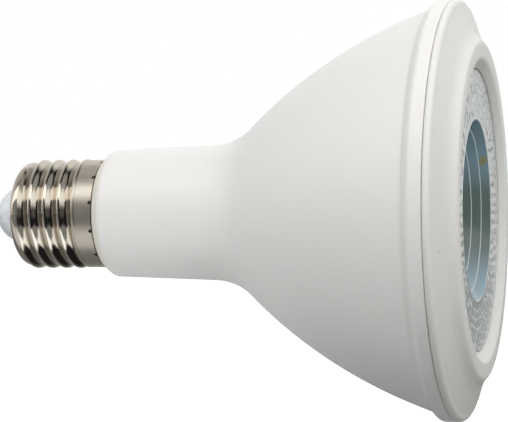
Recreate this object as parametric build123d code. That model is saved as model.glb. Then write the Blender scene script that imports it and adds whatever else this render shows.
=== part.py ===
from build123d import *
from math import atan2, hypot, sqrt, tan
import os

# A PAR30 LED spotlight bulb with an E27 screw cap, in millimetres. The axis of the lamp is X:
# the end of the centre contact is at x = 0, the front faces +X, and +Z is up.

# Fits and sheet
clearance = 0.1
wall = 2.0

# Centre contact, a nail pressed through the insulator
contact_radius = 1.8
contact_height = 1.05
contact_rounding = 0.45
shank_radius = 0.8
shank_tip = 1.0

# Screw shell, rolled from thin sheet
sheet = 0.35
nose_x = 8.2
nose_hole_radius = 5.75
nose_rounding = 2.0
land_length = 2.24
land_step = 0.6
pitch = 3.629
crest_radius = 13.1
thread_depth = 1.1
thread_length = 16.2
thread_start = 0.9
first_crest = 4.94
band_step = 0.22
band_run = 0.85
band_length = 5.4
punch_count = 12
punch_radius = 0.45
punch_inset = 0.75
punch_first_angle = 18.5
land_radius = crest_radius - land_step
land_end_x = nose_x + land_length
first_crest_x = nose_x + first_crest
shell_bore = crest_radius - thread_depth - sheet - clearance
band_x = nose_x + thread_length
band_radius = crest_radius - band_step
cap_seam_x = band_x + band_length

# Insulator, a moulded dome with a waist that the shell is closed round
dome_radius = 6.95
dome_centre_x = 7.85
flange_length = 2.0
flange_radius = land_radius - nose_rounding - clearance
flange_end_x = nose_x + flange_length
shank_end_x = flange_end_x + shank_tip

# Housing, one white moulding: spigot, neck, bell and rim
spigot_length = 17.2
spigot_wall = 1.55
edge_radius = 13.35
edge_length = 2.0
shoulder_radius = 15.12
shoulder_rounding = 2.3
neck_length = 30.4
neck_radius = 16.15
neck_rounding = 15.0
throat_length = 21.1
belly_radius = 36.25
bell_length = 26.0
bell_rise = 9.6
bell_straight = 0.3
groove_rounding = 0.9
flare_length = 1.8
flare_height = 1.9
rim_rounding = 1.2
rim_length = 2.9
rim_edge = 0.35
rim_wall = 2.1
rim_step_depth = 2.5
land_wall = 2.55
snap_height = 0.6
snap_depth = 5.0
snap_length = 1.4
spigot_radius = shell_bore - clearance
spigot_bore = spigot_radius - spigot_wall
spigot_start_x = cap_seam_x - spigot_length
shoulder_x = cap_seam_x + edge_length
neck_x = shoulder_x + neck_length
belly_x = neck_x + throat_length
groove_x = belly_x + bell_length
groove_radius = belly_radius + bell_rise
flare_x = groove_x + flare_length
rim_radius = groove_radius + flare_height
rim_x = flare_x + rim_length
rim_bore = rim_radius - rim_wall
rim_step_x = rim_x - rim_step_depth
land_bore = groove_radius - land_wall
snap_bore = land_bore + snap_height
snap_x = rim_x - snap_depth

# Bosses, ribs and rails moulded inside the housing
boss_count = 3
boss_inset = 7.25
boss_radius = 3.4
boss_length = 14.0
rib_thickness = 1.8
rail_inset = 2.5
rail_length = 18.0
rail_height = 1.6
rail_reach = 1.6
boss_circle = belly_radius - boss_inset

# Heat sink cup, pressed from aluminium sheet
cup_sheet = 1.5
cup_gap = 0.3
cup_floor_depth = 20.0
cup_rim_depth = 5.5
lead_hole_radius = 1.6
lead_hole_gap = 4.0
cup_floor_x = rim_x - cup_floor_depth
cup_rim_x = rim_x - cup_rim_depth

# Front ring
seam_gap = 0.1
bead_length = 1.5
bead_rounding = 1.3
crease_step = 0.35
crease_depth = 1.75
crease_rounding = 0.7
face_depth = 2.25
face_width = 6.0
foot_rounding = 6.0
collar_height = 1.8
collar_slope = 2.0
collar_width = 3.6
collar_rounding = 1.2
recess_depth = 1.55
recess_slope = 2.3
recess_rounding = 0.25
ring_wall = 1.8
skirt_play = 0.3
skirt_wall = 1.5
step_wall = 1.5
step_length = 1.4
snap_play = 0.15
well_depth = 3.0
well_wall = 1.6
back_rounding = 0.4
moulded_edge = 0.2
bead_x = rim_x + bead_length
crease_x = bead_x + crease_step
crease_radius = rim_radius - crease_depth
foot_x = crease_x + face_depth
foot_radius = crease_radius - face_width
collar_x = foot_x + collar_height
collar_outer = foot_radius - collar_slope
collar_inner = collar_outer - collar_width
recess_x = collar_x - recess_depth
window_radius = collar_inner - recess_slope
skirt_radius = land_bore - skirt_play

# Lens, one clear moulding with a stepped hollow in front of its collimator
lens_inset = 0.25
lens_lip = 0.7
lens_plate = 2.2
lens_rim = 2.3
lens_edge = 0.15
optic_radius = 20.6
optic_steps = 3
step_depth = 2.0
step_run = 1.8
step_ledge = 0.4
collimator_margin = 2.4
collimator_wall = 1.8
collimator_play = 0.8
collimator_bore_depth = 5.5
source_gap = 0.3
lens_front_x = recess_x - lens_inset
seat_x = lens_front_x - lens_lip
well_back_x = seat_x - well_depth

# Light source on the floor of the cup
source_size = 24.0
source_thickness = 1.5
pad_margin = 0.5
pad_thickness = 0.4
plate_rounding = 1.0
phosphor_radius = 7.0
phosphor_height = 0.7
holder_height = 3.5
holder_margin = 3.8
holder_bore_gap = 4.0
holder_screw_gap = 5.2
holder_screw_length = 6.5
cup_screw_length = 11.0
screw_radius = 1.3
screw_play = 0.05
screw_head_radius = 2.6
screw_head_height = 1.6
screw_head_rounding = 0.9
screw_slot = 0.7
holder_bore = phosphor_radius + holder_bore_gap
holder_screw_circle = source_size / 2 + holder_screw_gap
holder_radius = holder_screw_circle + holder_margin
lead_hole_circle = holder_radius + lead_hole_gap

# Driver board and what stands on it
board_thickness = 1.6
board_z = -4.0
board_gap = 1.7
board_play = 0.2
board_margin = 2.5
part_gap = 1.0
tongue_length = 14.5
tongue_play = 1.0
solder = 0.05
core_width = 16.0
core_depth = 5.0
core_height = 12.4
core_leg = 4.0
core_yoke = 2.2
bobbin_wall = 0.6
winding_depth = 2.6
winding_rounding = 1.2
input_capacitor_radius = 5.0
input_capacitor_length = 16.0
crimp_x = 1.6
crimp_width = 0.8
crimp_depth = 0.4
output_capacitor_radius = 4.0
output_capacitor_height = 12.0
can_rounding = 0.5
film_length = 11.0
film_width = 5.0
film_height = 10.0
choke_radius = 4.0
choke_height = 9.0
choke_flange = 1.2
choke_waist = 0.5
bridge_length = 5.0
bridge_width = 6.0
bridge_height = 2.5
chip_length = 5.0
chip_width = 4.0
chip_height = 1.6
block_rounding = 0.3
fuse_radius = 1.7
fuse_length = 8.0
fuse_rounding = 0.6
board_x = shoulder_x + board_gap
tongue_x = board_x - tongue_length
board_low = abs(board_z) + board_thickness / 2
board_half_width = sqrt((shoulder_radius - wall) ** 2 - board_low**2) - board_play
tongue_half_width = sqrt(spigot_bore**2 - board_low**2) - tongue_play

# Leads
lead_radius = 0.6
lead_bend = 2.0
lead_tight_bend = 1.5
lead_overlap = 3.5


def turned(*corners):
    """A solid turned about the axis of the lamp; each corner is (x, radius, rounding)."""
    points = [(x, r) for x, r, _ in corners]
    roundings = [rounding for _, _, rounding in corners]
    return revolve(make_face(FilletPolyline(*points, radius=roundings, close=True)), Axis.X)


def tube(start, end, outer, inner=0.0, rounding=0.0):
    """A round bar or tube along the axis of the lamp."""
    return turned((start, inner, 0), (start, outer, rounding), (end, outer, rounding), (end, inner, 0))


def inset(line, depth):
    """The open line of corners moved towards the axis by depth, its arcs kept concentric."""
    steps = [(b[0] - a[0], b[1] - a[1]) for a, b in zip(line, line[1:])]
    units = [(dx / hypot(dx, dr), dr / hypot(dx, dr)) for dx, dr in steps]
    moved = []
    for i, (x, r, rounding) in enumerate(line):
        before = units[max(i - 1, 0)]
        after = units[min(i, len(units) - 1)]
        share = depth / (1 + before[0] * after[0] + before[1] * after[1])
        opens_out = before[0] * after[1] - before[1] * after[0] > 0
        rounding += depth if opens_out else -depth
        moved.append((x + share * (before[1] + after[1]), r - share * (before[0] + after[0]), rounding))
    return moved


def radius_on(line, x):
    """The radius of the last straight of the line, continued to x."""
    (x0, r0, _), (x1, r1, _) = line[-2:]
    return r0 + (r1 - r0) * (x - x0) / (x1 - x0)


def reach_on(line, radius):
    """The x at which the last straight of the line, continued, has this radius."""
    (x0, r0, _), (x1, r1, _) = line[-2:]
    return x0 + (x1 - x0) * (radius - r0) / (r1 - r0)


def around(count, first=0.0):
    """Angles of a ring of like features, from +Y towards +Z."""
    return [first + 360 * i / count for i in range(count)]


def at_angle(solid, angle):
    return Rot(X=angle) * solid


def box(x, y, z):
    """A box given by its lowest and highest x, y and z."""
    centre = [(low + high) / 2 for low, high in (x, y, z)]
    return Pos(*centre) * Box(x[1] - x[0], y[1] - y[0], z[1] - z[0])


def rod(radius, length, along, rounding=0.0):
    """A round bar from the origin, along X or Z."""
    bar = extrude(Circle(radius), length)
    if rounding:
        bar = fillet(bar.edges().filter_by(GeomType.CIRCLE), rounding)
    return Rot(Y=90) * bar if along == "X" else bar


def wire(*points, bend=lead_bend):
    """An insulated lead along straight runs and tangent arcs."""
    path = FilletPolyline(*points, radius=bend)
    return sweep(Plane(path @ 0, z_dir=path % 0) * Circle(lead_radius), path=path)


# Centre contact
def centre_contact():
    head = turned(
        (0, 0, 0),
        (0, contact_radius, contact_rounding),
        (contact_height, contact_radius, 0),
        (contact_height, 0, 0),
    )
    return head + tube(contact_height / 2, shank_end_x, shank_radius)


# Insulator
def cap_insulator():
    flange_x = nose_x + sheet + clearance / 2
    waist = nose_hole_radius - clearance
    dome = Pos(X=dome_centre_x) * Sphere(dome_radius) & tube(0, nose_x - clearance / 2, 2 * dome_radius)
    flange = tube(flange_x, flange_end_x, flange_radius, rounding=moulded_edge)
    body = dome + tube(dome_centre_x, flange_end_x, waist) + flange
    body -= tube(-1, contact_height, contact_radius + clearance / 2)
    return body - tube(-1, flange_end_x + 1, shank_radius + clearance / 2)


# Screw shell
def corkscrew(mean_radius, start, end):
    """A round bar whose centre runs round the axis once a pitch: the solid form of the thread."""
    swing = thread_depth / 2
    path = Helix(pitch, end - start, swing)
    bar = sweep(Pos(X=swing) * Circle(mean_radius), path=path, normal=(0, 0, 1))
    turn = 360 * (start - first_crest_x) / pitch
    return Pos(X=start) * Rot(X=180 + turn) * Rot(Y=90) * bar


def cap_shell():
    mean = crest_radius - thread_depth / 2
    root = crest_radius - thread_depth
    land_run = pitch / 2
    nose = turned(
        (nose_x, 0, 0),
        (nose_x, land_radius, nose_rounding),
        (land_end_x, land_radius, 0),
        (land_end_x + land_run, root - clearance, 0),
        (land_end_x + land_run, 0, 0),
    )
    ramp = turned(
        (land_end_x, 0, 0),
        (land_end_x, land_radius - clearance, 0),
        (land_end_x + thread_start, crest_radius + sheet, 0),
        (cap_seam_x, crest_radius + sheet, 0),
        (cap_seam_x, 0, 0),
    )
    band = turned(
        (band_x - band_run, 0, 0),
        (band_x - band_run, shell_bore, 0),
        (band_x, band_radius, 0),
        (cap_seam_x, band_radius, 0),
        (cap_seam_x, 0, 0),
    )
    thread = corkscrew(mean, land_end_x, band_x + pitch / 5) & ramp
    shell = nose + thread + band
    shell -= turned(
        (nose_x + sheet, 0, 0),
        (nose_x + sheet, land_radius - sheet, nose_rounding - sheet),
        (land_end_x, land_radius - sheet, 0),
        (land_end_x + land_run, shell_bore, 0),
        (land_end_x + pitch, shell_bore, 0),
        (land_end_x + pitch, 0, 0),
    )
    shell -= corkscrew(mean - sheet, land_end_x + land_run, band_x + sheet + clearance)
    shell -= tube(band_x + sheet, cap_seam_x + 1, band_radius - sheet)
    shell -= tube(0, nose_x + 1, nose_hole_radius)
    punch = Pos(cap_seam_x - punch_inset, 0, band_radius - 3 * sheet) * rod(punch_radius, 6 * sheet, "Z")
    for angle in around(punch_count, punch_first_angle):
        shell -= at_angle(punch, angle)
    return shell


# Housing
def bend(a, b, c):
    """The angle that a line through three corners turns by at the middle one."""
    before = atan2(b[1] - a[1], b[0] - a[0])
    after = atan2(c[1] - b[1], c[0] - b[0])
    return abs(after - before)


def bell_rounding():
    """The rounding of the bell that leaves only a short straight at its tighter end."""
    shoulder = (shoulder_x, shoulder_radius)
    neck = (neck_x, neck_radius)
    belly = (belly_x, belly_radius)
    groove = (groove_x, groove_radius)
    neck_run = neck_rounding * tan(bend(shoulder, neck, belly) / 2)
    throat_run = hypot(throat_length, belly_radius - neck_radius) - neck_run
    bell_run = hypot(bell_length, bell_rise) - land_wall
    return (min(throat_run, bell_run) - bell_straight) / tan(bend(neck, belly, groove) / 2)


outer_line = [
    (shoulder_x, shoulder_radius, shoulder_rounding),
    (neck_x, neck_radius, neck_rounding),
    (belly_x, belly_radius, bell_rounding()),
    (groove_x, groove_radius, groove_rounding),
]


def cavity(depth):
    """The room inside the housing line, moved in by depth, up to the front land."""
    line = inset(outer_line, depth)
    start, neck, belly, _ = line
    land = land_bore if depth >= wall else groove_radius - depth
    return turned(
        (start[0], 0, 0),
        (start[0], start[1], 0),
        neck,
        belly,
        (reach_on(line, land), land, 0),
        (rim_step_x, land, 0),
        (rim_step_x, 0, 0),
    )


def driver_rails():
    """Grooved rails on both sides of the neck, which the driver board slides into."""
    low = board_z - board_thickness / 2 - clearance
    high = board_z + board_thickness / 2 + clearance
    rail_x = board_x + rail_inset
    room = cavity(wall / 2)
    rails = None
    for side in (-1, 1):
        inner = side * (board_half_width - rail_reach)
        edge = side * (board_half_width + clearance)
        far = side * neck_radius
        along = (rail_x, rail_x + rail_length)
        block = box(along, sorted((inner, far)), (low - rail_height, high + rail_height))
        block -= box((rail_x - 1, rail_x + rail_length + 1), sorted((inner - side, edge)), (low, high))
        block &= room
        rails = block if rails is None else rails + block
    return rails


def boss_angles():
    return around(boss_count)


def bosses():
    """Screw bosses for the cup, each joined to the wall by a rib."""
    room = cavity(wall / 2)
    start = cup_floor_x - boss_length
    found = None
    for angle in boss_angles():
        boss = Pos(start, boss_circle, 0) * rod(boss_radius, boss_length, "X")
        rib = box((start, cup_floor_x), (boss_circle, groove_radius), (-rib_thickness / 2, rib_thickness / 2))
        post = at_angle(boss + rib, angle) & room
        found = post if found is None else found + post
    return found


def housing():
    outer = turned(
        (spigot_start_x, 0, 0),
        (spigot_start_x, spigot_radius, moulded_edge),
        (band_x + 2 * sheet, spigot_radius, 0),
        (band_x + 2 * sheet, band_radius - sheet - clearance, 0),
        (cap_seam_x, band_radius - sheet - clearance, 0),
        (cap_seam_x, edge_radius, moulded_edge),
        *outer_line,
        (flare_x, rim_radius, rim_rounding),
        (rim_x, rim_radius, rim_edge),
        (rim_x, 0, 0),
    )
    body = outer - cavity(wall) - tube(spigot_start_x - 1, shoulder_x + wall, spigot_bore)
    body -= tube(rim_step_x - 1, rim_x + 1, land_bore)
    body -= tube(rim_step_x, rim_x + 1, rim_bore)
    body -= tube(snap_x, snap_x + snap_length, snap_bore)
    body += driver_rails()
    body += bosses()
    for angle in boss_angles():
        pilot_x = cup_floor_x - cup_screw_length
        pilot = Pos(pilot_x, boss_circle, 0) * rod(screw_radius + screw_play, cup_screw_length + 1, "X")
        body -= at_angle(pilot, angle)
    return body


# Heat sink cup
def heat_sink_cup():
    slab = tube(cup_floor_x, cup_rim_x, rim_radius)
    inside = tube(cup_floor_x + cup_sheet, rim_x, rim_radius)
    outer_depth = wall + cup_gap
    inner_depth = outer_depth + cup_sheet
    cup = (cup_room(outer_depth) & slab) - (cup_room(inner_depth) & inside)
    for angle in boss_angles():
        hole = Pos(cup_floor_x - 1, boss_circle, 0) * rod(screw_radius + clearance, cup_sheet + 2, "X")
        cup -= at_angle(hole, angle)
    for angle in around(2):
        hole = Pos(cup_floor_x - 1, holder_screw_circle, 0)
        cup -= at_angle(hole * rod(screw_radius + screw_play, cup_sheet + 2, "X"), angle)
    for angle in around(2, 90):
        hole = Pos(cup_floor_x - 1, lead_hole_circle, 0) * rod(lead_hole_radius, cup_sheet + 2, "X")
        cup -= at_angle(hole, angle)
    return cup


def cup_room(depth):
    """The room inside the housing line, moved in by depth, run out past the rim of the cup."""
    line = inset(outer_line, depth)
    start, neck, belly, _ = line
    return turned(
        (start[0], 0, 0),
        (start[0], start[1], 0),
        neck,
        belly,
        (rim_x, radius_on(line, rim_x), 0),
        (rim_x, 0, 0),
    )


# Light source
pad_x = cup_floor_x + cup_sheet
source_x = pad_x + pad_thickness
phosphor_x = source_x + source_thickness
phosphor_front_x = phosphor_x + phosphor_height


def square_plate(x, thickness, size, rounding):
    plate = extrude(RectangleRounded(size, size, rounding), thickness)
    return Pos(X=x) * Rot(Y=90) * plate


def thermal_pad():
    return square_plate(pad_x, pad_thickness, source_size - 2 * pad_margin, plate_rounding)


def led_base():
    return square_plate(source_x, source_thickness, source_size, plate_rounding)


def led_phosphor():
    return tube(phosphor_x, phosphor_front_x, phosphor_radius)


def led_holder():
    """A white clamp ring that holds the light source down on its pad by the corners."""
    ring = tube(pad_x, pad_x + holder_height, holder_radius, holder_bore, back_rounding)
    ring -= square_plate(pad_x - 1, phosphor_x - pad_x + 1, source_size + 2 * clearance, plate_rounding)
    for angle in around(2):
        hole = Pos(pad_x - 1, holder_screw_circle, 0)
        ring -= at_angle(hole * rod(screw_radius + clearance, holder_height + 2, "X"), angle)
    channel = 2 * lead_radius + 2 * clearance
    for angle in around(2, 90):
        slot = box((phosphor_x, pad_x + holder_height + 1), (0, holder_radius + 1), (-channel / 2, channel / 2))
        ring -= at_angle(slot, angle)
    return ring


def pan_head_screw(seat_x, length):
    """A pan head screw on the axis, its head in front of the seat and its shank behind."""
    head = turned(
        (seat_x, 0, 0),
        (seat_x, screw_head_radius, 0),
        (seat_x + screw_head_height, screw_head_radius, screw_head_rounding),
        (seat_x + screw_head_height, 0, 0),
    )
    screw = head + tube(seat_x - length, seat_x + screw_head_height / 2, screw_radius)
    across = screw_slot / 2
    deep = (seat_x + screw_head_height / 2, seat_x + screw_head_height + 1)
    reach = 0.6 * screw_head_radius
    screw -= box(deep, (-reach, reach), (-across, across))
    return screw - box(deep, (-across, across), (-reach, reach))


def holder_screws():
    screw = pan_head_screw(pad_x + holder_height, holder_screw_length)
    return [at_angle(Pos(Y=holder_screw_circle) * screw, angle) for angle in around(2)]


def cup_screws():
    screw = pan_head_screw(pad_x, cup_screw_length)
    return [at_angle(Pos(Y=boss_circle) * screw, angle) for angle in boss_angles()]


# Front ring
def front_ring():
    face_slope = (foot_x - crease_x) / (crease_radius - foot_radius)

    def back_of_face(radius):
        return foot_x - (radius - foot_radius) * face_slope - ring_wall

    skirt_bore = skirt_radius - skirt_wall
    well = window_radius + lens_rim
    well_outer = well + well_wall
    step_radius = rim_bore - snap_play
    step_bore = step_radius - step_wall
    back_x = rim_x + seam_gap
    skirt_x = cup_rim_x + clearance
    collar_back_x = collar_x - ring_wall
    ring = turned(
        (back_x, rim_radius, rim_edge),
        (bead_x, rim_radius, bead_rounding),
        (crease_x, crease_radius, crease_rounding),
        (foot_x, foot_radius, foot_rounding),
        (collar_x, collar_outer, collar_rounding),
        (collar_x, collar_inner, collar_rounding),
        (recess_x, window_radius, recess_rounding),
        (seat_x, window_radius, 0),
        (seat_x, well, 0),
        (well_back_x, well, 0),
        (well_back_x, well_outer, moulded_edge),
        (collar_back_x, well_outer, back_rounding),
        (collar_back_x, collar_outer - ring_wall / 2, back_rounding),
        (back_of_face(foot_radius), foot_radius, back_rounding),
        (back_of_face(skirt_bore), skirt_bore, moulded_edge),
        (skirt_x, skirt_bore, moulded_edge),
        (skirt_x, skirt_radius, moulded_edge),
        (back_of_face(skirt_radius), skirt_radius, moulded_edge),
        (back_of_face(step_bore), step_bore, moulded_edge),
        (rim_x - step_length, step_bore, moulded_edge),
        (rim_x - step_length, step_radius, moulded_edge),
        (back_x, step_radius, 0),
    )
    snap = turned(
        (snap_x + snap_play, skirt_radius - moulded_edge, 0),
        (snap_x + snap_play, snap_bore - snap_play, moulded_edge),
        (snap_x + snap_length - snap_play, snap_bore - snap_play, moulded_edge),
        (snap_x + snap_length - snap_play, skirt_radius - moulded_edge, 0),
    )
    return ring + snap


# Lens
def lens():
    plate_x = seat_x - lens_plate
    face_radius = window_radius - clearance
    rim = face_radius + lens_rim
    foot = phosphor_front_x + source_gap
    collimator_bore = phosphor_radius + collimator_play
    corners = [
        (seat_x, rim, moulded_edge),
        (seat_x, face_radius, 0),
        (lens_front_x, face_radius, lens_edge),
        (lens_front_x, optic_radius, lens_edge),
    ]
    x = lens_front_x
    radius = optic_radius
    for i in range(optic_steps):
        x -= step_depth
        radius -= step_run
        corners.append((x, radius, 0))
        if i < optic_steps - 1:
            radius -= step_ledge
            corners.append((x, radius, 0))
    corners += [
        (x, 0, 0),
        (foot + collimator_bore_depth, 0, 0),
        (foot + collimator_bore_depth, collimator_bore, 2 * lens_edge),
        (foot, collimator_bore, 0),
        (foot, collimator_bore + collimator_wall, lens_edge),
        (plate_x, optic_radius + collimator_margin, 2 * lens_edge),
        (plate_x, rim, moulded_edge),
    ]
    return turned(*corners)


# Driver board and its components, set out from the neck towards the front
board_top = board_z + board_thickness / 2
board_bottom = board_z - board_thickness / 2
fuse_x = tongue_x + lead_overlap + part_gap
row_x = board_x + board_margin
choke_x = row_x + film_length + part_gap + choke_radius
input_capacitor_x = row_x + bridge_length + part_gap
winding_reach = core_depth / 2 + clearance + bobbin_wall + winding_depth
row_end_x = max(choke_x + choke_radius, input_capacitor_x + input_capacitor_length)
core_x = row_end_x + part_gap + winding_reach
output_capacitor_x = core_x + winding_reach + part_gap + output_capacitor_radius
board_end_x = output_capacitor_x + output_capacitor_radius + part_gap + lead_overlap


def driver_board():
    main = box((board_x, board_end_x), (-board_half_width, board_half_width), (board_bottom, board_top))
    tongue = (-tongue_half_width, tongue_half_width)
    return main + box((tongue_x, board_x + 1), tongue, (board_bottom, board_top))


def transformer_core():
    """Two E halves joined: an outer frame with a middle leg."""
    x = (core_x - core_depth / 2, core_x + core_depth / 2)
    core = box(x, (-core_width / 2, core_width / 2), (board_top, board_top + core_height))
    side = core_width / 2 - core_yoke
    for window in ((-side, -core_leg / 2), (core_leg / 2, side)):
        core -= box(x, window, (board_top + core_yoke, board_top + core_height - core_yoke))
    return core


def leg_tube(low, high, inner, outer):
    """A square tube round the middle leg of the core; inner and outer are its margins."""
    half_x = core_depth / 2
    half_y = core_leg / 2
    whole = box(
        (core_x - half_x - outer, core_x + half_x + outer),
        (-half_y - outer, half_y + outer),
        (low, high),
    )
    return whole - box(
        (core_x - half_x - inner, core_x + half_x + inner),
        (-half_y - inner, half_y + inner),
        (low - 1, high + 1),
    )


def bobbin_heights():
    low = board_top + core_yoke + clearance
    high = board_top + core_height - core_yoke - clearance
    return low, high


def transformer_bobbin():
    low, high = bobbin_heights()
    inner = clearance
    tube_outer = clearance + bobbin_wall
    flange_outer = tube_outer + winding_depth
    bobbin = leg_tube(low, high, inner, tube_outer)
    bobbin += leg_tube(low, low + bobbin_wall, inner, flange_outer)
    return bobbin + leg_tube(high - bobbin_wall, high, inner, flange_outer)


def transformer_winding():
    low, high = bobbin_heights()
    inner = clearance + bobbin_wall
    winding = leg_tube(low + bobbin_wall, high - bobbin_wall, inner, inner + winding_depth - 2 * clearance)
    corners = winding.edges().filter_by(Axis.Z).sort_by(lambda e: hypot(e.center().X - core_x, e.center().Y))
    return fillet(corners[-4:], winding_rounding)


def input_capacitor():
    can = rod(input_capacitor_radius, input_capacitor_length, "X", rounding=can_rounding)
    waist = input_capacitor_radius - crimp_depth
    groove = tube(crimp_x, crimp_x + crimp_width, input_capacitor_radius + 1, waist)
    height = board_top + input_capacitor_radius + solder
    return Pos(input_capacitor_x, input_capacitor_radius + solder, height) * (can - groove)


def output_capacitor():
    can = rod(output_capacitor_radius, output_capacitor_height, "Z", rounding=can_rounding)
    return Pos(output_capacitor_x, -output_capacitor_radius, board_top) * can


def block(x, y, z, length, width, height):
    """A moulded component with softened edges; x and z are its near end and its foot."""
    body = Pos(x + length / 2, y, z + height / 2) * Box(length, width, height)
    return fillet(body.edges(), block_rounding)


def film_capacitor():
    return block(row_x, -film_width, board_top, film_length, film_width, film_height)


def bridge_rectifier():
    return block(row_x, bridge_width / 2, board_top, bridge_length, bridge_width, bridge_height)


def controller_chip():
    foot = board_bottom - chip_height
    return block(row_end_x - chip_length, 0, foot, chip_length, chip_width, chip_height)


def filter_choke():
    """A drum core: two flanges on a waist, wound to just inside the flanges."""
    low = rod(choke_radius, choke_flange, "Z")
    high = Pos(Z=choke_height - choke_flange) * low
    waist = rod(choke_radius - choke_waist, choke_height, "Z")
    return Pos(choke_x, -choke_radius - part_gap, board_top) * (low + high + waist)


def fuse_resistor():
    body = rod(fuse_radius, fuse_length, "X", rounding=fuse_rounding)
    return Pos(fuse_x, -tongue_half_width / 2, board_top + fuse_radius + solder) * body


# Leads
lead_z = board_top + lead_radius + solder


def live_lead():
    start = shank_end_x + solder
    return wire(
        (start, 0, 0),
        (start + 4, 0, 0),
        (tongue_x, 0, lead_z),
        (tongue_x + lead_overlap, 0, lead_z),
    )


def neutral_lead():
    end_x = flange_end_x + 2 * lead_radius
    end_radius = shell_bore - clearance
    y = tongue_half_width / 2 + 1
    return wire(
        (tongue_x + lead_overlap, y, lead_z),
        (tongue_x - 3, y, lead_z),
        (end_x, y, 0),
        (end_x, end_radius, 0),
        bend=lead_tight_bend,
    )


def led_lead(side):
    hole_z = side * lead_hole_circle
    y = side * board_half_width / 3
    past_x = phosphor_x + lead_radius + solder
    return wire(
        (board_end_x - lead_overlap, y, lead_z),
        (board_end_x + 4, y, lead_z),
        (board_end_x + 5.5, 0, hole_z),
        (past_x, 0, hole_z),
        (past_x, 0, side * (holder_bore - lead_radius)),
    )


def led_lead_positive():
    return led_lead(1)


def led_lead_negative():
    return led_lead(-1)


nodes = [
    centre_contact,
    cap_insulator,
    cap_shell,
    housing,
    heat_sink_cup,
    cup_screws,
    thermal_pad,
    led_base,
    led_phosphor,
    led_holder,
    holder_screws,
    front_ring,
    lens,
    driver_board,
    transformer_core,
    transformer_bobbin,
    transformer_winding,
    input_capacitor,
    output_capacitor,
    film_capacitor,
    bridge_rectifier,
    controller_chip,
    filter_choke,
    fuse_resistor,
    live_lead,
    neutral_lead,
    led_lead_positive,
    led_lead_negative,
]

os.makedirs("parts", exist_ok=True)
for make in nodes:
    made = make()
    shape = Compound(children=made) if isinstance(made, list) else made
    export_step(shape, f"parts/{make.__name__}.step")
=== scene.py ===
import math
import random

import bpy
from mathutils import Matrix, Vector, kdtree


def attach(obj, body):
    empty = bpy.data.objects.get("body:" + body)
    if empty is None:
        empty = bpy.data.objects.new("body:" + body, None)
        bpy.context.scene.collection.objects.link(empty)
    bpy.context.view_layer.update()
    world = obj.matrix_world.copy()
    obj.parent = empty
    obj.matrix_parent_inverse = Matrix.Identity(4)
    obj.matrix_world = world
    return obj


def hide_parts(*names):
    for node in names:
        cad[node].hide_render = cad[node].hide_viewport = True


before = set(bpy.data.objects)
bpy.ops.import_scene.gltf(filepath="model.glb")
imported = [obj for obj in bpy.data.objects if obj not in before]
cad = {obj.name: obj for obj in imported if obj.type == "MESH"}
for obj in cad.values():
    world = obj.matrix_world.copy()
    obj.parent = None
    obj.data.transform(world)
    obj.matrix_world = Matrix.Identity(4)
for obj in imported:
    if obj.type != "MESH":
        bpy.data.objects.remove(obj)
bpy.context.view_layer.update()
mm = 0.001


# Centre contact: a small nickel plated nail head, pressed through the middle of the
# insulator. Its face is a little worn where the spring of the lampholder rubs it.
def finish(name, **values):
    """A material whose plain values are set on the sockets of its Principled BSDF."""
    material = bpy.data.materials.new(name)
    material.use_nodes = True
    for socket, value in values.items():
        shader_of(material).inputs[socket.replace("_", " ")].default_value = value
    return material


def shader_of(material):
    return material.node_tree.nodes["Principled BSDF"]


def place(tree, kind, inputs=None, **settings):
    """A node in a material or a group, with its settings and the values or sockets that it takes."""
    node = tree.nodes.new(kind)
    for setting, value in settings.items():
        setattr(node, setting, value)
    for socket, value in (inputs or {}).items():
        if isinstance(value, bpy.types.NodeSocket):
            tree.links.new(value, node.inputs[socket])
        else:
            node.inputs[socket].default_value = value
    return node


def maths(tree, operation, *values):
    """The socket of one sum, of values or sockets."""
    node = place(tree, "ShaderNodeMath", dict(enumerate(values)), operation=operation)
    return node.outputs["Value"]


def ramp(tree, value, start, end, low=0.0, high=1.0, curve="SMOOTHSTEP"):
    """The socket of a value that goes from low to high as the one given goes from start to end."""
    limits = {"From Min": start, "From Max": end, "To Min": low, "To Max": high}
    node = place(tree, "ShaderNodeMapRange", {"Value": value, **limits}, interpolation_type=curve)
    return node.outputs["Result"]


def new_group(name, inputs, outputs):
    """An empty shader node group with named inputs and outputs."""
    tree = bpy.data.node_groups.new(name, "ShaderNodeTree")
    for socket, value in inputs.items():
        made = tree.interface.new_socket(socket, in_out="INPUT", socket_type="NodeSocketFloat")
        made.default_value = value
    for socket in outputs:
        tree.interface.new_socket(socket, in_out="OUTPUT", socket_type="NodeSocketFloat")
    return tree, tree.nodes.new("NodeGroupInput").outputs, tree.nodes.new("NodeGroupOutput").inputs


def use_group(material, tree, **values):
    """The outputs of a group placed in a material with its own values."""
    node = material.node_tree.nodes.new("ShaderNodeGroup")
    node.node_tree = tree
    for socket, value in values.items():
        node.inputs[socket].default_value = value
    return node.outputs


# fine grain: the height of a skin such as orange peel, and a slow drift from place to place
grain_group, given, made = new_group(
    "fine_grain", {"Grain Scale": 1500.0, "Drift Scale": 40.0}, ["Height", "Drift"]
)
spot = place(grain_group, "ShaderNodeTexCoord").outputs["Object"]
for output, scale, detail in (("Height", "Grain Scale", 3.0), ("Drift", "Drift Scale", 2.0)):
    inputs = {"Vector": spot, "Scale": given[scale], "Detail": detail}
    noise = place(grain_group, "ShaderNodeTexNoise", inputs)
    grain_group.links.new(noise.outputs["Fac"], made[output])


def grained(material, grain_scale, drift_scale):
    return use_group(material, grain_group, **{"Grain Scale": grain_scale, "Drift Scale": drift_scale})


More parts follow.
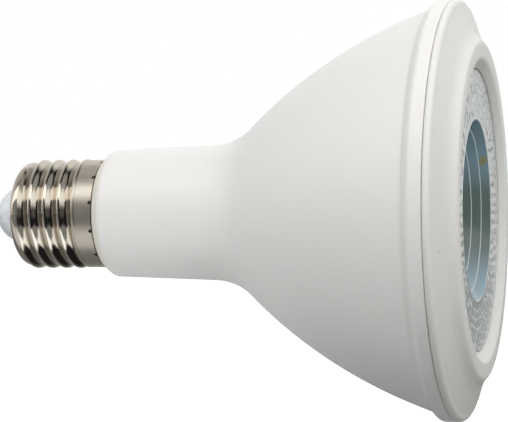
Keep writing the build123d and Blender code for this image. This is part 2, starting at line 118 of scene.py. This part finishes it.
def blend(material, mask, first, second):
    """The colour from first to second, each a colour or a socket, as the mask goes from 0 to 1."""
    ends = [end if isinstance(end, bpy.types.NodeSocket) else (*end, 1.0) for end in (first, second)]
    inputs = {"Factor": mask, "A": ends[0], "B": ends[1]}
    return place(material.node_tree, "ShaderNodeMix", inputs, data_type="RGBA").outputs["Result"]


def spread(material, drift, low, high):
    """A value that drifts between low and high."""
    return ramp(material.node_tree, drift, 0.3, 0.7, low, high, curve="LINEAR")


def bump(material, height, depth, strength):
    """Feeds the shader's Normal from a height that stands for a depth in metres."""
    inputs = {"Height": height, "Distance": depth, "Strength": strength}
    feed(material, "Normal", place(material.node_tree, "ShaderNodeBump", inputs).outputs["Normal"])


def feed(material, socket, value):
    material.node_tree.links.new(value, shader_of(material).inputs[socket])


def dress(name, material):
    """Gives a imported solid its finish."""
    data = cad[name].data
    data.materials.clear()
    data.materials.append(material)


contact_nickel = finish("contact_nickel", Metallic=1.0)
grain = grained(contact_nickel, 2600.0, 900.0)
worn = blend(contact_nickel, grain["Drift"], (0.60, 0.57, 0.53), (0.72, 0.70, 0.66))
feed(contact_nickel, "Base Color", worn)
feed(contact_nickel, "Roughness", spread(contact_nickel, grain["Drift"], 0.22, 0.42))
bump(contact_nickel, grain["Height"], 0.02 * mm, 0.4)
dress("centre_contact", contact_nickel)


# Insulator: a glossy bluish white moulding that fills the nose of the cap and carries
# the contact. It has a polished dome with a trace of the mould's flow.
dome_white = finish(
    "dome_white",
    IOR=1.52,
    Coat_Weight=0.4,
    Coat_Roughness=0.06,
    Subsurface_Weight=0.15,
    Subsurface_Scale=1.2 * mm,
)
grain = grained(dome_white, 700.0, 260.0)
feed(dome_white, "Base Color", blend(dome_white, grain["Drift"], (0.82, 0.85, 0.90), (0.86, 0.88, 0.93)))
feed(dome_white, "Roughness", spread(dome_white, grain["Drift"], 0.16, 0.26))
bump(dome_white, grain["Height"], 0.03 * mm, 0.25)
dress("cap_insulator", dome_white)


# Screw shell: thin nickel plated brass, rolled to the thread and punched round its rim
# to lock it on the housing. The thread is bright and the plain band has a softer shine.
band_start = 24.4 * mm
band_end = 29.8 * mm
groove_floor = 12.1 * mm
rim_edge = (0.42 * mm, 0.55 * mm)

# place on lamp: how far along the axis, and masks for the plain band, the grooves and the rim, which is
# painted dark as shade in the joint with the housing
place_on_lamp, given, made = new_group(
    "place_on_lamp",
    {"Band Start": band_start, "Groove Floor": groove_floor, "Band End": band_end},
    ["Along", "Band", "Groove", "Rim"],
)
spot = place(place_on_lamp, "ShaderNodeTexCoord").outputs["Object"]
axes = place(place_on_lamp, "ShaderNodeSeparateXYZ", {"Vector": spot}).outputs
across = place(place_on_lamp, "ShaderNodeCombineXYZ", {"Y": axes["Y"], "Z": axes["Z"]}).outputs["Vector"]
out = place(place_on_lamp, "ShaderNodeVectorMath", {0: across}, operation="LENGTH").outputs["Value"]
past = maths(place_on_lamp, "SUBTRACT", axes["X"], given["Band Start"])
below = maths(place_on_lamp, "SUBTRACT", given["Groove Floor"], out)
left = maths(place_on_lamp, "SUBTRACT", given["Band End"], axes["X"])
for output, value in {
    "Along": axes["X"],
    "Band": ramp(place_on_lamp, past, -0.4 * mm, 0.4 * mm),
    "Groove": ramp(place_on_lamp, below, -0.35 * mm, 0.15 * mm),
    "Rim": ramp(place_on_lamp, left, *rim_edge, 1.0, 0.0, curve="LINEAR"),
}.items():
    place_on_lamp.links.new(value, made[output])

shell_nickel = finish("shell_nickel", Metallic=1.0)
grain = grained(shell_nickel, 1900.0, 420.0)
where = use_group(shell_nickel, place_on_lamp)
plating = blend(shell_nickel, grain["Drift"], (0.66, 0.61, 0.525), (0.74, 0.69, 0.60))
# the grooves are a darker brown
groove_brown = blend(shell_nickel, grain["Drift"], (0.42, 0.36, 0.29), (0.56, 0.49, 0.41))
rolled = blend(shell_nickel, where["Groove"], plating, groove_brown)
# the rim is painted dark brown, a painted shade of the joint with the housing
feed(shell_nickel, "Base Color", blend(shell_nickel, where["Rim"], rolled, (0.16, 0.115, 0.07)))
bright = spread(shell_nickel, grain["Drift"], 0.07, 0.14)
plain = spread(shell_nickel, grain["Drift"], 0.28, 0.36)
rough = {"Factor": where["Band"], "A": bright, "B": plain}
rough = place(shell_nickel.node_tree, "ShaderNodeMix", rough, data_type="FLOAT").outputs["Result"]
feed(shell_nickel, "Roughness", rough)
bump(shell_nickel, grain["Height"], 0.02 * mm, 0.35)
dress("cap_shell", shell_nickel)


# Housing: one satin white moulding, from the spigot in the cap through the neck and the
# bell to the rim. Its skin has a fine orange peel and a few dark specks from the resin.
crease_in = (108.4 * mm, 109.6 * mm)
crease_out = (109.8 * mm, 110.9 * mm)
cream_edge = (31.4 * mm, 32.2 * mm)
speck_brown = (0.33, 0.30, 0.26)

# mark at: a round spot of one size about one place
mark_at, given, made = new_group("mark_at", {"X": 0.0, "Y": 0.0, "Z": 0.0, "Size": 0.2 * mm}, ["Mask"])
spot = place(mark_at, "ShaderNodeTexCoord").outputs["Object"]
middle = place(mark_at, "ShaderNodeCombineXYZ", {axis: given[axis] for axis in "XYZ"}).outputs["Vector"]
away = place(mark_at, "ShaderNodeVectorMath", {0: spot, 1: middle}, operation="DISTANCE").outputs["Value"]
share = maths(mark_at, "DIVIDE", away, given["Size"])
mark_at.links.new(ramp(mark_at, share, 0.6, 1.0, 1.0, 0.0, curve="LINEAR"), made["Mask"])


def marked(material, color, marks, shade):
    """The colour with small marks on it, each (x, y, z, size) in millimetres."""
    for x, y, z, size in marks:
        mark = use_group(material, mark_at, X=x * mm, Y=y * mm, Z=z * mm, Size=size * mm)
        color = blend(material, mark["Mask"], color, shade)
    return color


def tone_of(material):
    """The socket that the colour of a material comes from so far."""
    return shader_of(material).inputs["Base Color"].links[0].from_socket


def moulded_white(name, light, shade, specks=(), scatter=0.25, scatter_depth=1.2):
    """Satin white plastic with orange peel, a slow drift of tone and a few specks."""
    material = finish(
        name,
        IOR=1.5,
        Subsurface_Weight=scatter,
        Subsurface_Radius=(1.0, 0.9, 0.8),
        Subsurface_Scale=scatter_depth * mm,
    )
    grain = grained(material, 1300.0, 34.0)
    tone = marked(material, blend(material, grain["Drift"], shade, light), specks, speck_brown)
    feed(material, "Base Color", tone)
    feed(material, "Roughness", spread(material, grain["Drift"], 0.40, 0.50))
    bump(material, grain["Height"], 0.04 * mm, 0.18)
    return material


housing_specks = [(97.04, -23.32, -33.67, 0.22), (111.2, -23.3, 41.6, 0.25)]
housing_white = moulded_white("housing_white", (0.83, 0.825, 0.82), (0.81, 0.805, 0.795), housing_specks)
tree = housing_white.node_tree
along = use_group(housing_white, place_on_lamp)["Along"]
# the crease before the rim is painted with a trace of shade, and the edge next to the cap is a little creamy
crease = maths(tree, "MULTIPLY", ramp(tree, along, *crease_in), ramp(tree, along, *crease_out, 0.15, 0.0))
tone = blend(housing_white, crease, tone_of(housing_white), (0.60, 0.60, 0.595))
tone = blend(housing_white, ramp(tree, along, *cream_edge, 1.0, 0.0), tone, (0.84, 0.81, 0.745))
# inside the cap the spigot is painted dark, as shade in the gap at the cap's rim
painted_cap_shade = ramp(tree, along, band_end - 0.1 * mm, band_end, 1.0, 0.0, curve="LINEAR")
feed(housing_white, "Base Color", blend(housing_white, painted_cap_shade, tone, (0.07, 0.06, 0.05)))
dress("housing", housing_white)


# Driver board: green board with its components, slid into the rails of the neck before
# the cup goes in. It can't be seen once the lamp is closed.
def inner_finish(name, first, second, rough, metallic=0.0, grain_scale=1800.0, depth=0.03):
    """A finish for a piece inside the lamp, with a grain and a drift between two tones."""
    material = finish(name, Metallic=metallic)
    grain = grained(material, grain_scale, 160.0)
    feed(material, "Base Color", blend(material, grain["Drift"], first, second))
    feed(material, "Roughness", spread(material, grain["Drift"], rough - 0.06, rough + 0.06))
    bump(material, grain["Height"], depth * mm, 0.4)
    return material


board_green = inner_finish("board_green", (0.02, 0.16, 0.07), (0.03, 0.22, 0.10), 0.32)
ferrite_grey = inner_finish("ferrite_grey", (0.05, 0.05, 0.055), (0.09, 0.09, 0.09), 0.55, depth=0.08)
moulding_black = inner_finish("moulding_black", (0.02, 0.02, 0.02), (0.035, 0.035, 0.035), 0.45)
tape_yellow = inner_finish("tape_yellow", (0.72, 0.50, 0.05), (0.80, 0.60, 0.09), 0.30)
sleeve_black = inner_finish("sleeve_black", (0.02, 0.02, 0.035), (0.03, 0.03, 0.05), 0.28)
film_red = inner_finish("film_red", (0.32, 0.05, 0.03), (0.40, 0.08, 0.04), 0.30)
fuse_beige = inner_finish("fuse_beige", (0.50, 0.40, 0.25), (0.58, 0.48, 0.32), 0.40)
lead_brown = inner_finish("lead_brown", (0.12, 0.05, 0.02), (0.16, 0.07, 0.03), 0.40)
lead_blue = inner_finish("lead_blue", (0.02, 0.06, 0.35), (0.03, 0.09, 0.42), 0.40)
lead_red = inner_finish("lead_red", (0.50, 0.03, 0.02), (0.58, 0.05, 0.03), 0.40)
lead_black = inner_finish("lead_black", (0.02, 0.02, 0.02), (0.03, 0.03, 0.03), 0.40)

for name, material in {
    "driver_board": board_green,
    "transformer_core": ferrite_grey,
    "transformer_bobbin": moulding_black,
    "transformer_winding": tape_yellow,
    "input_capacitor": sleeve_black,
    "output_capacitor": sleeve_black,
    "film_capacitor": film_red,
    "bridge_rectifier": moulding_black,
    "controller_chip": moulding_black,
    "filter_choke": moulding_black,
    "fuse_resistor": fuse_beige,
    "live_lead": lead_brown,
    "neutral_lead": lead_blue,
    "led_lead_positive": lead_red,
    "led_lead_negative": lead_black,
}.items():
    dress(name, material)


# Heat sink cup: pressed from aluminium sheet and screwed to the three bosses. It shows
# faintly through the lens as a pale grey wall.
cup_aluminium = inner_finish(
    "cup_aluminium", (0.80, 0.81, 0.82), (0.88, 0.89, 0.89), 0.42, metallic=0.3, grain_scale=900.0
)
screw_zinc = inner_finish("screw_zinc", (0.60, 0.60, 0.58), (0.70, 0.70, 0.68), 0.30, metallic=1.0)
dress("heat_sink_cup", cup_aluminium)
dress("cup_screws", screw_zinc)


# Light source: a yellow phosphor disc on a metal base, on a grey thermal pad, held down
# by a white clamp ring with two screws.
pad_grey = inner_finish("pad_grey", (0.25, 0.27, 0.29), (0.32, 0.34, 0.36), 0.60)
base_metal = inner_finish("base_metal", (0.80, 0.81, 0.82), (0.86, 0.87, 0.88), 0.30, metallic=0.8)
phosphor_yellow = inner_finish(
    "phosphor_yellow", (0.80, 0.66, 0.08), (0.86, 0.76, 0.16), 0.50, grain_scale=2400.0, depth=0.06
)
holder_white = moulded_white("holder_white", (0.82, 0.82, 0.81), (0.78, 0.78, 0.77))
dress("thermal_pad", pad_grey)
dress("led_base", base_metal)
dress("led_phosphor", phosphor_yellow)
dress("led_holder", holder_white)
dress("holder_screws", screw_zinc)


# Lens: one clear acrylic moulding, held by its rim behind the front ring. A collimator
# stands behind the middle, with a stepped hollow in front of it, and pebbles round it.
# Its sizes are in millimetres.
lens_face = 118.1
seat = 117.4
plate_back = 115.2
face_radius = 32.0
rim_radius = 34.3
optic_radius = 20.6
steps = 3
step_depth = 2.0
step_run = 1.8
step_ledge = 0.4
step_rounding = 0.18
mouth_rounding = 0.25
collimator_foot = 98.4
bore_depth = 5.5
bore_radius = 7.8
foot_radius = 9.6
collimator_radius = 23.0
axis_radius = 0.02
turns = 720
face_rings = 44
arc_points = 5
wall_length = 1.0
sharp_angle = math.radians(32)
pebble_size = 2.3
pebble_height = 0.34
pebble_gap = 0.8
pebble_disorder = 0.3
pebble_margin = 0.5
pebble_row = 0.87 * pebble_size
pebble_reach = 0.62 * pebble_size


def soften(corners):
    """A closed profile of (x, radius, rounding) corners with its roundings drawn as short arcs."""
    points = []
    count = len(corners)
    for i, (x, r, rounding) in enumerate(corners):
        here = Vector((x, r))
        if not rounding:
            points.append(here)
            continue
        before = (Vector(corners[i - 1][:2]) - here).normalized()
        after = (Vector(corners[(i + 1) % count][:2]) - here).normalized()
        half = before.angle(after) / 2
        run = rounding / math.tan(half)
        middle = here + (before + after).normalized() * (rounding / math.sin(half))
        start = here + before * run
        end = here + after * run
        for step in range(arc_points):
            share = start.lerp(end, step / (arc_points - 1)) - middle
            points.append(middle + share.normalized() * rounding)
    return points


def turn(name, points):
    """A mesh turned about the lamp's axis from a closed profile in millimetres."""
    rings = len(points)
    verts = []
    for x, r in points:
        for k in range(turns):
            angle = 2 * math.pi * k / turns
            verts.append((x * mm, r * math.cos(angle) * mm, r * math.sin(angle) * mm))
    faces = []
    for i in range(rings):
        j = (i + 1) % rings
        for k in range(turns):
            n = (k + 1) % turns
            faces.append((i * turns + k, j * turns + k, j * turns + n, i * turns + n))
    data = bpy.data.meshes.new(name)
    data.from_pydata(verts, [], faces)
    return data


def pebble_field():
    """The middles of the pebbles, packed in rings with a little disorder, both round and outward."""
    dice = random.Random(30)
    field = kdtree.KDTree(4000)
    count = 0
    r = optic_radius + pebble_gap
    while r < face_radius:
        around = max(1, round(2 * math.pi * r / pebble_size))
        for k in range(around):
            angle = 2 * math.pi * (k + dice.uniform(-pebble_disorder, pebble_disorder)) / around
            far = r + dice.uniform(-pebble_disorder, pebble_disorder)
            field.insert((far * math.cos(angle), far * math.sin(angle), 0.0), count)
            count += 1
        r += pebble_row
    field.balance()
    return field


# the steps of the hollow, from its mouth down to its floor
hollow = []
x = lens_face
r = optic_radius
for i in range(steps):
    x -= step_depth
    r -= step_run
    hollow.append((x, r, step_rounding))
    if i < steps - 1:
        r -= step_ledge
        hollow.append((x, r, step_rounding))
hollow_floor = x

# the whole profile, from the middle of the floor over the face and the rim and back
face_inner = optic_radius + 0.35
face_outer = face_radius - 0.25
face_steps = [face_inner + (face_outer - face_inner) * i / face_rings for i in range(face_rings + 1)]
profile = soften([
    (hollow_floor, axis_radius, 0),
    *reversed(hollow),
    (lens_face, optic_radius, mouth_rounding),
    (lens_face, face_inner, 0),
])
face_start = len(profile) - 1
profile += [Vector((lens_face, step)) for step in face_steps[1:]]
face_end = len(profile)
profile += soften([
    (lens_face, face_radius, 0.15),
    (seat, face_radius, 0),
    (seat, rim_radius, 0.2),
    (plate_back, rim_radius, 0.2),
    (plate_back, collimator_radius, 0.3),
    (collimator_foot, foot_radius, 0.2),
    (collimator_foot, bore_radius, 0),
    (collimator_foot + bore_depth, bore_radius, 0.3),
    (collimator_foot + bore_depth, axis_radius, 0),
])
lens_mesh = turn("lens_moulding", [(p.x, p.y) for p in profile])

# the pebbles are low domes with their tops level with the face, and die out towards its edges
pebbles = pebble_field()
for ring in range(face_start, face_end):
    for k in range(turns):
        vertex = lens_mesh.vertices[ring * turns + k]
        y, z = vertex.co.y / mm, vertex.co.z / mm
        r = profile[ring].y
        edge = min(1.0, (r - face_inner) / pebble_margin, (face_outer - r) / pebble_margin)
        distance = pebbles.find((y, z, 0.0))[2] / pebble_reach
        dome = math.sqrt(max(0.0, 1.0 - distance * distance)) - 1.0
        vertex.co.x += pebble_height * max(edge, 0.0) * dome * mm


def clear_plastic(name, first, second, transmission, rough, wave=0.1):
    """Clear acrylic; what it doesn't pass on it scatters in a colour that drifts from first to second."""
    material = finish(name, Transmission_Weight=transmission, IOR=1.49)
    grain = grained(material, 500.0, 120.0)
    feed(material, "Base Color", blend(material, grain["Drift"], first, second))
    feed(material, "Roughness", spread(material, grain["Drift"], rough, rough + 0.05))
    bump(material, grain["Height"], 0.03 * mm, wave)
    return material


lens_clear = clear_plastic("lens_clear", (0.86, 0.94, 0.94), (0.90, 0.96, 0.96), 1.0, 0.02, wave=0.15)
lens_pebbled = clear_plastic("lens_pebbled", (0.84, 0.90, 0.91), (0.91, 0.95, 0.96), 0.4, 0.05)
# the roundings of the steps are painted pale, as highlights along their edges
lens_edge_highlight = clear_plastic("lens_edge_highlight", (0.56, 0.67, 0.71), (0.66, 0.76, 0.79), 0.1, 0.10)
lens_step = clear_plastic("lens_step", (0.12, 0.165, 0.15), (0.145, 0.19, 0.175), 0.12, 0.04, wave=0.12)

# the walls of the hollow are painted with shade: dark and greenish at mid-height, painted lighter and bluer
# above and below, with one small yellowish mark, a painted glint where the light source most likely shows
glint = [(117.06, 15.69, 11.6, 1.6)]
dark_middle = -2.8 * mm
tree = lens_step.node_tree
spot = place(tree, "ShaderNodeTexCoord").outputs["Object"]
axes = place(tree, "ShaderNodeSeparateXYZ", {"Vector": spot}).outputs
height = maths(tree, "ABSOLUTE", maths(tree, "SUBTRACT", axes["Z"], dark_middle))
ends = ramp(tree, height, 5.0 * mm, 15.0 * mm)
painted_wall_shading = blend(lens_step, ends, tone_of(lens_step), (0.27, 0.40, 0.48))
feed(lens_step, "Base Color", marked(lens_step, painted_wall_shading, glint, (0.34, 0.35, 0.21)))

lens_mesh.validate()
lens_mesh.update()
lens_mesh.polygons.foreach_set("use_smooth", [True] * len(lens_mesh.polygons))
lens_mesh.set_sharp_from_angle(angle=sharp_angle)
for material in (lens_clear, lens_pebbled, lens_step, lens_edge_highlight):
    lens_mesh.materials.append(material)
clear, pebbled, wall, rounding = range(4)
points = len(profile)
for ring in range(points):
    near, far = profile[ring], profile[(ring + 1) % points]
    if face_start <= ring < face_end:
        kind = pebbled
    elif ring > face_end or ring == 0:
        kind = clear
    elif (far - near).length > wall_length:
        kind = wall
    else:
        kind = rounding
    for k in range(turns):
        lens_mesh.polygons[ring * turns + k].material_index = kind

lens = bpy.data.objects.new("lens_moulding", lens_mesh)
bpy.context.scene.collection.objects.link(lens)
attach(lens, "root")
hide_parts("lens")


# Front ring: a second white moulding in a slightly warmer resin, pushed on over the lens
# until its clips snap into the housing. Its face steps down to a collar round the lens.
ring_specks = [(116.78, -42.69, -8.39, 0.2), (114.9, -46.9, -6.4, 0.2)]
ring_white = moulded_white(
    "ring_white", (0.83, 0.82, 0.79), (0.81, 0.80, 0.765), ring_specks, scatter=0.5, scatter_depth=4.0
)
dress("front_ring", ring_white)


# Floor: a wide pale floor under the lamp. The camera sees it white, with the lamp's shadow and a little
# painted shade round the lamp, and the gloss of the metal sees a white card lying on it in front.
floor_height = -85.0 * mm
floor_reach = 6.0


def light_path(tree, *rays):
    """1 where the ray is one of these kinds, and 0 elsewhere."""
    path = place(tree, "ShaderNodeLightPath").outputs
    found = path[rays[0]]
    for ray in rays[1:]:
        found = maths(tree, "MAXIMUM", found, path[ray])
    return found


floor_mesh = bpy.data.meshes.new("floor")
corners = [(-1, -1), (1, -1), (1, 1), (-1, 1)]
corners = [(floor_reach * x, floor_reach * y, floor_height) for x, y in corners]
floor_mesh.from_pydata(corners, [], [(0, 1, 2, 3)])
floor = bpy.data.objects.new("floor", floor_mesh)
bpy.context.scene.collection.objects.link(floor)

floor_paper = bpy.data.materials.new("floor_paper")
floor_paper.use_nodes = True
tree = floor_paper.node_tree
tree.nodes.clear()
spot = place(tree, "ShaderNodeTexCoord").outputs["Object"]
axes = place(tree, "ShaderNodeSeparateXYZ", {"Vector": spot}).outputs

# what the camera sees: paper that carries the shadow, lifted to white away from the lamp and less near it,
# which paints a little shade round the lamp
lamp_middle = (0.06, 0.0, 0.0)
centred = place(tree, "ShaderNodeVectorMath", {0: spot, 1: lamp_middle}, operation="SUBTRACT")
far = place(tree, "ShaderNodeVectorMath", {0: centred.outputs["Vector"]}, operation="LENGTH").outputs["Value"]
paper = place(tree, "ShaderNodeBsdfDiffuse", {"Color": (0.33, 0.345, 0.34, 1.0)}).outputs["BSDF"]
white = place(tree, "ShaderNodeEmission", {"Strength": ramp(tree, far, 0.16, 0.50, 0.62, 1.0)})
seen = place(tree, "ShaderNodeAddShader", {0: paper, 1: white.outputs["Emission"]}).outputs["Shader"]

# what the gloss sees: the card in front, brightest from X 40 to 100 mm, and a dim floor that is
# paler towards the cap's end and further back
card_near = ramp(tree, axes["Y"], -0.175, -0.13)
card_far = ramp(tree, axes["Y"], -0.035, -0.015, 1.0, 0.0)
card_start = ramp(tree, axes["X"], 0.0, 0.04, 0.45, 1.4)
card_end = ramp(tree, axes["X"], 0.10, 0.14, 1.0, 0.17)
card_depth = maths(tree, "MULTIPLY", card_near, card_far)
card_tone = maths(tree, "MULTIPLY", card_start, card_end)
card = maths(tree, "MULTIPLY", card_depth, card_tone)
floor_side = ramp(tree, axes["X"], 0.0, 0.05, 1.0, 0.07)
floor_back = ramp(tree, axes["Y"], 0.04, 0.25, 0.20, 0.50)
lit = maths(tree, "ADD", card, maths(tree, "MULTIPLY", floor_side, floor_back))
gloss = place(tree, "ShaderNodeEmission", {"Strength": lit}).outputs["Emission"]

to_camera = light_path(tree, "Is Camera Ray", "Is Transmission Ray")
plain = place(tree, "ShaderNodeMixShader", {0: to_camera, 1: paper, 2: seen}).outputs["Shader"]
to_gloss = light_path(tree, "Is Glossy Ray")
whole = place(tree, "ShaderNodeMixShader", {0: to_gloss, 1: plain, 2: gloss}).outputs["Shader"]
place(tree, "ShaderNodeOutputMaterial", {"Surface": whole})
floor_mesh.materials.append(floor_paper)


# Room: a white backdrop for the camera, and a dim light for the lamp that falls off to the
# right. Gloss sees a grey room, with the long soft box above the camera and a wall on the right.
world = bpy.data.worlds.new("studio")
bpy.context.scene.world = world
world.use_nodes = True
tree = world.node_tree
tree.nodes.clear()
direction = place(tree, "ShaderNodeTexCoord").outputs["Generated"]
axes = place(tree, "ShaderNodeSeparateXYZ", {"Vector": direction}).outputs

# the room in front is grey, paler at the far left and dark on the right, and pale behind the lamp
right = ramp(tree, axes["X"], -0.04, 0.16, 1.0, 0.03)
left = ramp(tree, axes["X"], -0.95, -0.74, 1.8, 1.0)
front = ramp(tree, axes["Y"], -0.3, 0.1, 0.26, 0.48)
ahead = maths(tree, "MULTIPLY", maths(tree, "MULTIPLY", right, left), front)
behind = ramp(tree, axes["Y"], 0.35, 0.65, 0.0, 0.85)

# the long soft box lies between two heights, in radians above the level of the lamp
climb = maths(tree, "ARCTAN2", axes["Z"], maths(tree, "MULTIPLY", axes["Y"], -1.0))
box_low = ramp(tree, climb, 0.52, 0.64)
box_high = ramp(tree, climb, 1.06, 1.20, 1.5, 0.0)
box_end = ramp(tree, axes["X"], 0.60, 0.74, 1.0, 0.0)
box = maths(tree, "MULTIPLY", maths(tree, "MULTIPLY", box_low, box_high), box_end)

# the wall on the right is dark at the level of the lamp, bright further above and below it, and
# dimmer again beyond
level = maths(tree, "ABSOLUTE", axes["Z"])
wall_low = ramp(tree, level, 0.17, 0.42, 0.09, 1.1)
wall_high = ramp(tree, level, 0.56, 0.70, 1.0, 0.3)
wall_edge = ramp(tree, maths(tree, "MULTIPLY_ADD", level, 0.28, axes["X"]), 0.68, 0.80)
wall_seen = maths(tree, "MULTIPLY", maths(tree, "MULTIPLY", wall_low, wall_high), wall_edge)

room = maths(tree, "MAXIMUM", maths(tree, "MAXIMUM", ahead, behind), maths(tree, "MAXIMUM", wall_seen, box))
dimmer_right = ramp(tree, axes["X"], 0.1, 0.9, 0.235, 0.14, curve="LINEAR")


def sky(color, strength):
    """One of the world's backgrounds."""
    inputs = {"Color": (*color, 1.0), "Strength": strength}
    return place(tree, "ShaderNodeBackground", inputs).outputs["Background"]


soft = sky((0.97, 0.99, 1.0), dimmer_right)
backdrop = sky((1.0, 1.0, 1.0), 1.0)
mirrored = sky((1.0, 0.99, 0.97), room)
to_camera = light_path(tree, "Is Camera Ray", "Is Transmission Ray")
plain = place(tree, "ShaderNodeMixShader", {0: to_camera, 1: soft, 2: backdrop}).outputs["Shader"]
to_gloss = light_path(tree, "Is Glossy Ray")
whole = place(tree, "ShaderNodeMixShader", {0: to_gloss, 1: plain, 2: mirrored}).outputs["Shader"]
place(tree, "ShaderNodeOutputWorld", {"Surface": whole})


# Lamps: a long soft box above and in front, a square one beyond the bulb's face, one behind,
# and a small card under the neck that fills its shade. The gloss doesn't see any of them.
def soft_box(name, middle, target, size, power, color):
    data = bpy.data.lights.new(name, "AREA")
    data.shape = "RECTANGLE"
    data.size, data.size_y = size
    data.energy = power
    data.color = color
    lamp = bpy.data.objects.new(name, data)
    lamp.location = middle
    lamp.rotation_euler = (Vector(target) - Vector(middle)).to_track_quat("-Z", "Y").to_euler()
    lamp.visible_camera = False
    lamp.visible_glossy = False
    bpy.context.scene.collection.objects.link(lamp)


warm_white = (1.0, 0.985, 0.965)
soft_white = (1.0, 0.99, 0.975)
soft_box("soft_box_front", (0.08, -0.47, 0.47), (0.04, 0.0, 0.0), (1.1, 0.36), 5.0, warm_white)
soft_box("soft_box_side", (0.90, 0.05, 0.45), (0.12, 0.0, 0.02), (0.4, 0.4), 3.0, soft_white)
soft_box("soft_box_back", (-0.10, 0.60, 0.45), (0.06, 0.0, 0.0), (0.7, 0.4), 2.2, (1.0, 0.99, 0.98))
soft_box("card_under_neck", (0.03, -0.03, -0.055), (0.045, 0.0, -0.01), (0.05, 0.05), 0.011, soft_white)


# Camera: at the height of the lamp's axis, in front of it and a little towards the face,
# with the slight tilt of the photograph.
lens_length = 126.86
sensor_width = 36.0
camera_place = (0.18085, -0.40383, 0.00029)
turned_left = math.radians(15.949)
tilt = math.radians(0.4868)
camera_data = bpy.data.cameras.new("camera")
camera_data.lens = lens_length
camera_data.sensor_width = sensor_width
camera_data.clip_start = 0.01
camera = bpy.data.objects.new("camera", camera_data)
camera.location = camera_place
camera.rotation_euler = (math.radians(90.0), tilt, turned_left)
bpy.context.scene.collection.objects.link(camera)
bpy.context.scene.camera = camera
bpy.context.scene.view_settings.view_transform = "Standard"
